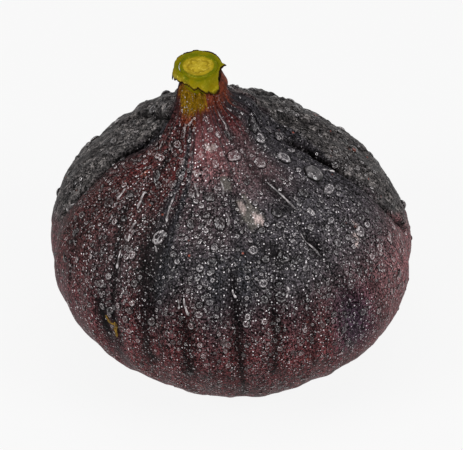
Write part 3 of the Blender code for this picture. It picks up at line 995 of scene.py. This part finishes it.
class Skin:
    """The finished skin as something to set drops on."""

    def __init__(self, skin, axis_at):
        self.axis_at = axis_at
        mesh = skin.data
        mesh.calc_loop_triangles()
        self.points, self.normals = points_of(skin), normals_of(skin)
        corners = np.empty(len(mesh.loop_triangles) * 3, dtype=np.int64)
        mesh.loop_triangles.foreach_get("vertices", corners)
        self.corners = corners.reshape(-1, 3)
        self.tree = BVHTree.FromPolygons(self.points.tolist(), self.corners.tolist())
        a, b, c = (self.points[self.corners[:, k]] for k in range(3))
        self.areas = np.linalg.norm(np.cross(b - a, c - a), axis=1) / 2
        self.tone = np.empty(len(self.points) * 4, dtype=np.float32)
        mesh.attributes["tone"].data.foreach_get("color", self.tone)
        self.tone = self.tone.reshape(-1, 4)[:, :3]
        self.open = np.empty(len(self.points), dtype=np.float32)
        mesh.attributes["open"].data.foreach_get("value", self.open)

    def tint(self, piece, under):
        """Gives each of a piece's vertices the colour of the skin's vertex under it."""
        store_colour(piece, "tone", self.tone[under])

    def scatter(self, rng, count, density):
        """Random places on the skin, as the density at each allows, with their normals and vertices."""
        pick = rng.choice(len(self.areas), size=count, p=self.areas / self.areas.sum())
        u, v = rng.uniform(size=(2, count))
        over = u + v > 1
        u[over], v[over] = 1 - u[over], 1 - v[over]
        weights = np.stack([1 - u - v, u, v], 1)[:, :, None]
        corner = self.corners[pick]
        places = (self.points[corner] * weights).sum(1)
        normals = (self.normals[corner] * weights).sum(1)
        normals /= np.linalg.norm(normals, axis=1)[:, None]
        angle, z, _ = around(places, self.axis_at)
        keep = rng.uniform(size=count) < density(angle, z, places) * self.open[corner[:, 0]]
        return places[keep], normals[keep], corner[keep, 0]

    def at(self, angle, z):
        """The skin's point and normal at an angle in degrees and a height in mm."""
        start = self.axis_at(np.array([z]))[0]
        way = Vector((math.sin(math.radians(angle)), -math.cos(math.radians(angle)), 0))
        far = Vector((start[0], start[1], z)) + way * OUTSIDE
        hit, normal, _, _ = self.tree.ray_cast(far, -way)
        return hit, normal

    def nearest(self, place):
        """The skin's point, normal and vertex nearest to a place."""
        hit, normal, face, _ = self.tree.find_nearest(place)
        return hit, normal, self.corners[face, 0]


def clear_of(places, radii, taken):
    """Which places keep a drop clear of those already taken, given as rows of x, y, z and radius."""
    clear = np.ones(len(places), dtype=bool)
    batch, least_share = 500, 0.97
    for start in range(0, len(places), batch):
        part = slice(start, start + batch)
        far = np.linalg.norm(places[part, None, :] - taken[None, :, :3], axis=2)
        clear[part] = (far > least_share * (radii[part, None] + taken[None, :, 3])).all(1)
    return clear


def spread_out(places, radii):
    """Which places to keep so that drops hardly touch: the first in each small cube of space."""
    cells = np.floor(places / (2 * radii.mean())).astype(np.int64)
    _, first = np.unique(cells, axis=0, return_index=True)
    return np.sort(first)


def uneven_outline(turn, waves):
    """How far out of round a drop's outline is at a turn round it, from its own six numbers."""
    wavy = waves[0] * math.cos(2 * turn + waves[1]) + waves[2] * math.cos(3 * turn + waves[3])
    return 1 + 0.07 * wavy + 0.05 * waves[4] * math.cos(5 * turn + waves[5] * 3)


def large_drops(skin, rng, material):
    """The drops that can be told apart, each bent to the skin under it, with an uneven outline."""
    shape, faces = drop_shape(28, 18, 0.28)
    all_points, all_faces, under, taken = [], [], [], []
    drops = LARGE_DROPS + PALE_REFLECTING_DROPS
    for angle, z, length, width in drops:
        centre, normal = skin.at(angle, z)
        down, across = (Vector(row[0]) for row in tangents(np.array([normal])))
        turn = rng.uniform(-0.4, 0.4)
        along = down * math.cos(turn) + across * math.sin(turn)
        aside = across * math.cos(turn) - down * math.sin(turn)
        waves = rng.uniform(-1, 1, 6)
        start = len(all_points)
        tall = 0.27 * math.sqrt(length * width) * rng.uniform(0.8, 1.1)
        if abs(angle) > BEHIND:
            tall *= TALLER_BEHIND
        for x, y, up in shape:
            uneven = uneven_outline(math.atan2(y, x), waves)
            foot = centre + along * (x * uneven * length / 2) + aside * (y * uneven * width / 2)
            hit, here, vertex = skin.nearest(foot)
            blend = (normal * 0.6 + here * 0.4).normalized()
            all_points.append(hit + blend * (up * tall - LARGE_DROP_SUNK))
            under.append(vertex)
        all_faces += [[v + start for v in face] for face in faces]
        taken.append([*centre, math.sqrt(length * width) / 2])
    piece = new_mesh_object("large_drops", np.array(all_points), all_faces)
    skin.tint(piece, np.array(under))
    store_vector(piece, "within", within_drop(shape, SEED_STEP * np.arange(len(drops))))
    # Those last drops get a painted pale reflection
    with_reflection = np.arange(len(drops)) >= len(LARGE_DROPS)
    paint(piece, "pale", np.repeat(PAINTED_REFLECTION * with_reflection, len(shape)))
    return finished(piece, material), taken


def smooth_path(stops, count):
    """Points along a smooth curve through a few stops (Catmull-Rom)."""
    stops = [np.array(stop, dtype=float) for stop in stops]
    stops = [2 * stops[0] - stops[1]] + stops + [2 * stops[-1] - stops[-2]]
    path = []
    for k in range(count + 1):
        t = k / count * (len(stops) - 3)
        i = min(int(t), len(stops) - 4)
        t -= i
        p0, p1, p2, p3 = stops[i : i + 4]
        bend = 2 * p0 - 5 * p1 + 4 * p2 - p3
        twist = 3 * p1 - p0 - 3 * p2 + p3
        path.append(0.5 * (2 * p1 + (p2 - p0) * t + bend * t**2 + twist * t**3))
    return path


def ridges(name, skin, strokes, swelling, height):
    """Thin ridges along strokes on the skin; swelling gives each one's width from start to end."""
    sides, steps = RIDGE_SIDES, RIDGE_STEPS
    all_points, all_faces, under, taken = [], [], [], []
    for stops, width in strokes:
        middles = [skin.at(angle, z) for angle, z in smooth_path(stops, steps)]
        start = len(all_points)
        for k, (hit, normal) in enumerate(middles):
            half = width / 2 * swelling(k / steps)
            ahead = (middles[min(k + 1, steps)][0] - middles[max(k - 1, 0)][0]).normalized()
            aside = normal.cross(ahead).normalized()
            for j in range(sides):
                turn = 2 * math.pi * j / sides
                up = height * half * math.sin(turn)
                all_points.append(hit + aside * (half * math.cos(turn)) + normal * up)
            under += [skin.nearest(hit)[2]] * sides
            taken.append([*hit, half])
        for k in range(steps):
            for j in range(sides):
                a, b = start + k * sides + j, start + k * sides + (j + 1) % sides
                all_faces.append([a, b, b + sides, a + sides])
        all_faces.append([start + j for j in reversed(range(sides))])
        all_faces.append([start + steps * sides + j for j in range(sides)])
    return new_mesh_object(name, np.array(all_points), all_faces), under, taken


def water_runs(skin, material):
    """Thin runs of water, each ending below in a small bead."""

    def swelling(share):
        taper = math.sqrt(max(0.02, min(1.0, 6 * share, 9 * (1 - share))))
        return taper * (0.65 + 0.35 * math.exp(-(((share - 0.88) / 0.12) ** 2)))

    strokes = [(stops, RUN_SWELLING * width) for stops, width in RUNS]
    piece, under, taken = ridges("water_runs", skin, strokes, swelling, 0.8)
    skin.tint(piece, np.array(under))
    corner = np.arange(len(under))
    across = 0.95 * np.cos(2 * math.pi * (corner % RIDGE_SIDES) / RIDGE_SIDES)
    store_vector(piece, "within", np.column_stack([np.zeros(len(under)), across, corner * 0.05]))
    # Along the runs the pale attribute is a painted highlight
    paint(piece, "pale", 0.26 + 0.16 * np.sin(corner // RIDGE_SIDES * 0.8))
    return finished(piece, material), taken


def skin_crack(skin, material):
    """A short healed crack low on the front left, ochre and slightly raised."""

    def swelling(share):
        return 0.35 + 0.65 * math.sin(share * math.pi) ** 0.5 + 0.18 * math.sin(share * 19)

    piece, _, _ = ridges("skin_crack", skin, CRACK, swelling, 0.5)
    apply_modifier(piece, "SUBSURF", levels=1, render_levels=1)
    points, normals = points_of(piece), normals_of(piece)
    move_points(piece, points + normals * (0.06 * ripples(points, 0.8, 61))[:, None])
    return finished(piece, material)


def dampness(angle, z, places):
    """How thickly the drops lie: thick on the front, thin near the edges and the neck, none below."""
    aside = np.abs(angle)
    start = 7.5 + 8 * fade(aside, 15, 60)
    cover = fade(z, start, start + 8) * (1 - 0.8 * fade(z, 46.0, 51.0)) * (1 - fade(z, 54.0, 55.5))
    cover = cover * (1 - fade(aside, 50.0, 85.0) * (0.75 - 0.35 * fade(z, 34.0, 42.0)))
    cover = cover * (1 - 0.45 * between(angle, 5, 80, 12) * between(z, 40, 48, 3))
    cover = cover * (1 - 0.55 * between(angle, -30, 30, 8) * fade(z, 43, 46))
    cover = cover * (1 - 0.5 * fade(-angle, 70, 85))
    cover = cover * (1 - 0.7 * fade(-angle, 46, 62) * (1 - fade(z, 26, 34)))
    cover = cover * (1 - 0.5 * fade(aside, 88, 100))
    patchy = 0.85 + 0.35 * ripples(places, 6.0, 30)
    return np.clip(cover * patchy, 0, 1)


def scattered_drops(name, skin, rng, kind, shape, taken, material):
    """One object of small drops, clear of the drops already taken, and all that are taken now."""
    count, smallest, largest = kind
    places, normals, under = skin.scatter(rng, count, dampness)
    radii = smallest + (largest - smallest) * rng.uniform(size=len(places)) ** 2.2
    radii *= LOWEST_DROP_SHARE + (1 - LOWEST_DROP_SHARE) * fade(places[:, 2], SMALL_BELOW, FULL_ABOVE)
    clear = np.flatnonzero(clear_of(places, radii, taken))
    keep = clear[spread_out(places[clear], radii[clear])]
    places, normals, under, radii = places[keep], normals[keep], under[keep], radii[keep]
    heights = rng.uniform(0.42, 0.62, len(places))
    stretch = rng.uniform(0.9, 1.25, len(places))
    turned = normals + rng.normal(0, 0.08, normals.shape)
    turned /= np.linalg.norm(turned, axis=1)[:, None]
    piece = copied_drops(name, shape, places, turned, radii, heights, stretch, skin, under, material)
    return piece, np.vstack([taken, np.column_stack([places, radii])])


def wet_skin(skin):
    """All the water, from the largest drops down to the mist."""
    rng = np.random.default_rng(SEED)
    water = bead_material("water_on_skin", 0.74, 0.36, 0.22, 0.06)
    round_drops = bead_material("round_drops", 0.72, 0.48, 0.25, 0.06)
    beads = bead_material("fine_beads", 0.62, 1.10, 0.32, 0.07)
    large, taken = large_drops(skin, rng, water)
    runs, more = water_runs(skin, water)
    taken = np.array(taken + more)
    shape = drop_shape(12, 8, 0.05)
    medium, taken = scattered_drops("medium_drops", skin, rng, MEDIUM_DROPS, shape, taken, round_drops)
    shape = drop_shape(9, 6, 0.0)
    small, taken = scattered_drops("small_drops", skin, rng, SMALL_DROPS, shape, taken, beads)
    pieces = [large, runs, medium, small]
    shape = drop_shape(6, 4, 0.0)
    count, smallest, largest = MIST_DROPS
    kind = (count // MIST_PIECES, smallest, largest)
    for part in range(MIST_PIECES):
        mist, _ = scattered_drops(f"mist_{part + 1}", skin, rng, kind, shape, taken, beads)
        pieces.append(mist)
    return pieces


# ---------------------------------------------------------------- the stalk

STALK_LOW_MM, STALK_HIGH_MM = (np.array(corner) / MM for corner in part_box("cut_stem"))
STALK_HEIGHT_MM = STALK_HIGH_MM[2]


def stalk_middle(z):
    """The middle of the stalk at heights in mm, as rows of x and y, leaning on with the neck."""
    middle = (STALK_LOW_MM + STALK_HIGH_MM) / 2
    return np.stack([middle[0] - 0.25 - 0.22 * (z - STALK_HEIGHT_MM), np.full_like(z, middle[1])], 1)


def round_stalk(turn, radius, height):
    """Points round the stalk's leaning middle, from rows of turns, radii and heights."""
    points = np.stack([np.sin(turn) * radius, -np.cos(turn) * radius, height], 1)
    points[:, :2] += stalk_middle(height)
    return points


def stub_core(material):
    """The core of the stub with its cut face: a cylinder whose top is inset many times for its rings."""
    bpy.ops.object.select_all(action="DESELECT")
    bpy.ops.mesh.primitive_circle_add(vertices=96, radius=STUB_RADIUS * MM, fill_type="NGON")
    core = bpy.context.object
    core.name = core.data.name = "stub_core"
    edit_all()
    for rise in [STUB_STEP] * STUB_STEPS + [RIM_HEIGHT]:
        bpy.ops.mesh.extrude_region_move(TRANSFORM_OT_translate={"value": (0, 0, rise * MM)})
    bpy.ops.transform.resize(value=(RIM_SHARE, RIM_SHARE, 1))
    for _ in range(FACE_RINGS):
        bpy.ops.mesh.inset(thickness=FACE_RING * MM)
    bpy.ops.object.mode_set(mode="OBJECT")
    points = points_of(core)
    radius = np.hypot(points[:, 0], points[:, 1])
    turn = np.arctan2(points[:, 0], -points[:, 1])
    top = points[:, 2] > FACE_ABOVE
    share = radius / FACE_RADIUS
    wavy = 0.54 + 0.06 * np.cos(5 * turn + 0.6) + 0.035 * np.cos(8 * turn + 2.0)
    wavy = wavy + 0.025 * np.cos(13 * turn)
    on_ring = np.exp(-(((share - wavy) / 0.07) ** 2))
    paint(core, "ring", np.where(top, 0.8 * on_ring, 0))
    paint(core, "pith", np.where(top, 1 - 0.65 * fade(share, wavy + 0.05, 0.84), 0))
    paint(core, "green", np.where(top, 0.9 * fade(share, 0.80, 0.88), 0.55 + 0.3 * np.sin(3 * turn)))
    paint(core, "edge", 0.0)
    bumps = 0.03 * ripples(points, 1.6, 40) + 0.01 * ripples(points, 0.7, 41)
    dish = 0.10 * fade(share, 0.8, 0.93) - 0.08 * fade(share, 0.95, 1.0) - 0.05 * on_ring
    out = 1 + 0.025 * np.cos(2 * turn + 0.5) + 0.02 * np.cos(3 * turn)
    points[:, :2] *= out[:, None]
    points[:, 2] = np.where(top, points[:, 2] + bumps + dish, points[:, 2])
    points[:, 2] += STALK_HEIGHT_MM - STUB_HEIGHT
    points[:, :2] += stalk_middle(points[:, 2])
    move_points(core, points)
    return finished(core, material)


def collar_edge(degrees):
    """Round the stalk: how far out the torn skin ends, how far down, and how round its shoulder is."""
    angle, out, down, shoulder = (np.array(column, dtype=float) for column in zip(*TORN_EDGE))
    return [np.interp(degrees, angle, column, period=360) for column in (out, down, shoulder)]


def torn_sheet(name, steps, first, last, columns):
    """An arc or ring of faces to be shaped, and each vertex's angle and share of the height."""
    bpy.ops.object.select_all(action="DESELECT")
    bpy.ops.mesh.primitive_circle_add(vertices=columns, radius=1.0, fill_type="NOTHING")
    sheet = bpy.context.object
    sheet.name = sheet.data.name = name
    turn = np.degrees(np.arctan2(*(points_of(sheet)[:, :2] * [1, -1]).T))
    bpy.ops.object.mode_set(mode="EDIT")
    if last - first < 360:
        bpy.ops.mesh.select_all(action="DESELECT")
        bpy.ops.object.mode_set(mode="OBJECT")
        inside = (turn >= first) & (turn <= last)
        sheet.data.vertices.foreach_set("select", ~inside)
        bpy.ops.object.mode_set(mode="EDIT")
        bpy.ops.mesh.delete(type="VERT")
    bpy.ops.mesh.select_all(action="SELECT")
    for _ in range(steps):
        bpy.ops.mesh.extrude_region_move(TRANSFORM_OT_translate={"value": (0, 0, MM)})
    bpy.ops.object.mode_set(mode="OBJECT")
    points = points_of(sheet)
    return sheet, np.degrees(np.arctan2(points[:, 0], -points[:, 1])), points[:, 2] / steps


def thicken(sheet, thickness, material):
    """Gives a shaped sheet its thickness, growing inwards, and rounds it."""
    only(sheet)
    edit_all()
    bpy.ops.mesh.normals_make_consistent(inside=False)
    bpy.ops.object.mode_set(mode="OBJECT")
    apply_modifier(sheet, "SOLIDIFY", thickness=thickness * MM, offset=-1.0)
    apply_modifier(sheet, "SUBSURF", levels=1, render_levels=1)
    return finished(sheet, material)


def torn_collar(material):
    """The green skin torn loose round the stalk: it rolls out over the rim to a ragged brown edge."""
    collar, degrees, share = torn_sheet("torn_collar", 12, -180, 180, 200)
    out, down, shoulder = collar_edge(degrees)
    turn = np.radians(degrees)
    ragged = 0.07 * np.sin(17 * turn) + 0.08 * np.sin(31 * turn + 2) * np.sin(4 * turn + 1)
    ragged += 0.08 * np.sin(53 * turn + 1) * np.sin(3 * turn)
    down = down + ragged * np.clip(down, 0, 1.2) * (1 + 0.8 * shoulder)
    reach = shoulder * np.sin(share * math.pi / 2) ** 0.75 + (1 - shoulder) * share**1.4
    fall = shoulder * share**1.9 + (1 - shoulder) * share
    wobble = 0.10 * ripples(np.stack([np.cos(turn) * 4, np.sin(turn) * 4, share * 3], 1), 1.8, 50) * share
    radius = COLLAR_RADIUS + (out - COLLAR_RADIUS) * reach + wobble + 0.12 * ragged * share
    height = STALK_HEIGHT_MM - COLLAR_DROP - (down - COLLAR_DROP) * fall
    points = round_stalk(turn, radius, height)
    blotch = ripples(points, 1.5, 51)
    paint(collar, "ring", 0.0)
    # A painted sheen on the lower left of the collar, laid with the pale pith colour
    sheen = between(degrees, -78, -38, 6) * between(share, 0.55, 0.9, 0.08)
    paint(collar, "pith", np.clip(0.25 + 0.15 * blotch, 0, 1) * fade(share, 0.05, 0.4) + 0.7 * sheen)
    paint(collar, "green", np.clip(0.85 - 0.75 * share + 0.15 * blotch, 0, 1))
    dry = 0.07 + 0.33 * fade(np.abs(degrees + 20), 60, 110)
    paint(collar, "edge", 1 - fade(1 - share + 0.02 * blotch, dry, dry + 0.08))
    move_points(collar, points)
    return thicken(collar, COLLAR_THICKNESS, material)


def neck_tongue(material):
    """A tongue of the neck's brown skin that still clings to the right side of the stalk."""
    tongue, degrees, share = torn_sheet("neck_tongue", 8, 38, 150, 200)
    turn = np.radians(degrees)
    peak = np.clip(1 - ((degrees - 96) / 56) ** 2, 0, 1) ** 0.6
    top = 0.35 + 1.55 * peak + 0.10 * np.sin(23 * turn) + 0.08 * np.sin(41 * turn + 1)
    height = STALK_HEIGHT_MM - TONGUE_DROP + share * (top + 0.45)
    radius = TONGUE_RADIUS - 0.62 * share**0.8 * peak
    points = round_stalk(turn, radius, height)
    brown = np.clip(0.75 + 0.25 * ripples(points, 1.5, 52) - 0.8 * fade(share, 0.88, 0.97), 0, 1)[:, None]
    store_colour(tongue, "tone", np.array(ORANGE_BROWN) * brown + np.array(BLACK) * (1 - brown))
    paint(tongue, "mist", 0.0)
    paint(tongue, "smooth", 0.7)
    store_vector(tongue, "flow", flow_of(degrees, height))
    move_points(tongue, points)
    return thicken(tongue, TONGUE_THICKNESS, material)


# ---------------------------------------------------------------- the eye


def eye_scale_ring(material):
    """The scales of the eye as they overlap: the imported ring, divided finely and roughened."""
    ring = merged_copy("eye_scales", "scales_of_eye")
    apply_modifier(ring, "SUBSURF", levels=2, render_levels=2)
    points, normals = points_of(ring), normals_of(ring)
    move_points(ring, points + normals * (0.04 * ripples(points, 0.9, 60))[:, None])
    return finished(ring, material)


# ---------------------------------------------------------------- the stage


def lay_table(material):
    """The table that the fig stands on, just under it."""
    bpy.ops.object.select_all(action="DESELECT")
    bpy.ops.mesh.primitive_plane_add(size=TABLE_SIZE, location=(0, 0, cad_box[0][2] - 0.02 * MM))
    table = bpy.context.object
    table.name = "pale_table"
    table.data.materials.append(material)
    return table


def aimed(thing, place, target):
    """Puts a light or a camera at a place and turns it to a target."""
    thing.location = place
    thing.rotation_mode = "QUATERNION"
    thing.rotation_quaternion = (Vector(target) - Vector(place)).to_track_quat("-Z", "Y")


def hang_light(name, azimuth, elevation, distance, size, power):
    """A round soft light, aimed at the fig from an angle round it and one above the table."""
    lamp = bpy.data.lights.new(name, "AREA")
    lamp.shape = "DISK"
    lamp.size = size
    lamp.energy = power
    a, e = math.radians(azimuth), math.radians(elevation)
    away = Vector((math.sin(a) * math.cos(e), -math.cos(a) * math.cos(e), math.sin(e)))
    aimed(placed(name, lamp), away * distance + Vector(LIGHTS_AIM), LIGHTS_AIM)


def light_stage():
    """The lights, and an even pale room round them."""
    for light in LIGHTS:
        hang_light(*light)
    world = bpy.data.worlds.new("pale_studio")
    world.use_nodes = True
    room = world.node_tree.nodes["Background"]
    room.inputs["Color"].default_value = (ROOM_GREY, ROOM_GREY, ROOM_GREY, 1)
    room.inputs["Strength"].default_value = ROOM_STRENGTH
    bpy.context.scene.world = world
    bpy.context.scene.view_settings.view_transform = "Standard"


def place_camera():
    """The camera, looking down at the front of the fig."""
    camera = bpy.data.cameras.new("camera")
    camera.sensor_width = SENSOR_WIDTH
    camera.lens = LENS
    thing = placed("camera", camera)
    e = math.radians(CAMERA_ELEVATION)
    aimed(thing, Vector(AIM) + Vector((0, -math.cos(e), math.sin(e))) * CAMERA_DISTANCE, AIM)
    bpy.context.scene.camera = thing


# ---------------------------------------------------------------- the fig


def hand_over(piece, slot, *nodes):
    """Rides a piece on the fig's one body, standing for any nodes named; its slot is not used."""
    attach(piece, "root")
    if nodes:
        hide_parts(*nodes)


def main():
    """The stage first, then the fig from its skin out to the water on it."""
    place_camera()
    light_stage()
    lay_table(table_material())
    dark = skin_material()
    skin, axis_at = grow_skin(dark)
    hand_over(skin, "fig_skin", "fruit")
    hand_over(neck_tongue(dark), "fig_skin", "fruit")
    green = stalk_material()
    hand_over(stub_core(green), "green_stalk", "cut_stem")
    hand_over(torn_collar(green), "green_stalk", "cut_stem")
    hand_over(eye_scale_ring(scale_material()), "dry_scale", "eye_scales")
    ground = Skin(skin, axis_at)
    hand_over(skin_crack(ground, crack_material()), "fig_skin")
    for piece in wet_skin(ground):
        hand_over(piece, "fig_skin")


main()
